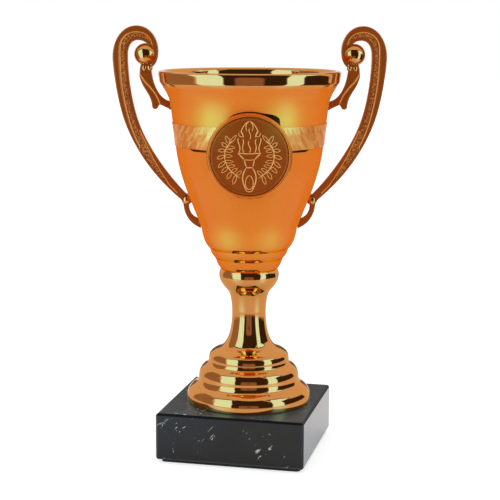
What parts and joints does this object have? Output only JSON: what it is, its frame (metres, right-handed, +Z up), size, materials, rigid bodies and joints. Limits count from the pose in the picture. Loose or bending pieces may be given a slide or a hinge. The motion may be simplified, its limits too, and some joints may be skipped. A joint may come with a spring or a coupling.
{
  "type": "cup trophy",
  "caption": "Handled trophy cup with a round medal holder, ringed bowl, waisted stem and stepped foot, clamped by a threaded rod to a square stone block.",
  "frame": {"origin": "centre of the underside of the pad, on the cup's upright axis", "axes": "+Z up the cup's axis, -Y out of the medal's face, +X through the handle on the viewer's right when the medal is faced"},
  "size_m": [0.0912, 0.0612, 0.1447],
  "materials": {
    "pad_foam": "matte black cell rubber",
    "black_marble": "polished black marble with pale veins",
    "zinc_steel": "bright zinc plating",
    "copper_mirror": "mirror copper metallising",
    "copper_satin": "satin copper metallising, mirror at lip and rings",
    "peach_band": "pale copper foil with a cut facet pattern",
    "bronze_holder": "mirror copper metallising, seen dark",
    "adhesive_pad": "foam tape",
    "bronze_medal": "satin bronze with bright raised lines",
    "bronze_handle": "satin bronze faces, bright ridges, grained panels",
    "spring_steel": "dull spring steel"
  },
  "bodies": {
    "base": {"base_pad": "pad_foam", "marble_base": "black_marble"},
    "cup": {"base_washer": "zinc_steel", "base_nut": "zinc_steel", "tie_rod": "zinc_steel", "foot": "copper_mirror", "stem": "copper_mirror", "knop": "copper_mirror", "bowl": "copper_satin", "bowl_washer": "zinc_steel", "bowl_nut": "zinc_steel", "decor_band": "peach_band", "medal_bezel": "bronze_holder", "medal_pad": "adhesive_pad", "medal_disc": "bronze_medal", "left_handle": "bronze_handle", "right_handle": "bronze_handle", "clip_left_upper": "spring_steel", "clip_left_lower": "spring_steel", "clip_right_upper": "spring_steel", "clip_right_lower": "spring_steel"}
  },
  "joints": [
    {"name": "cup_turn", "type": "hinge", "parent": "base", "child": "cup", "pos_m": [0, 0, 0.017], "axis": [0, 0, 1], "continuous": true}
  ]
}
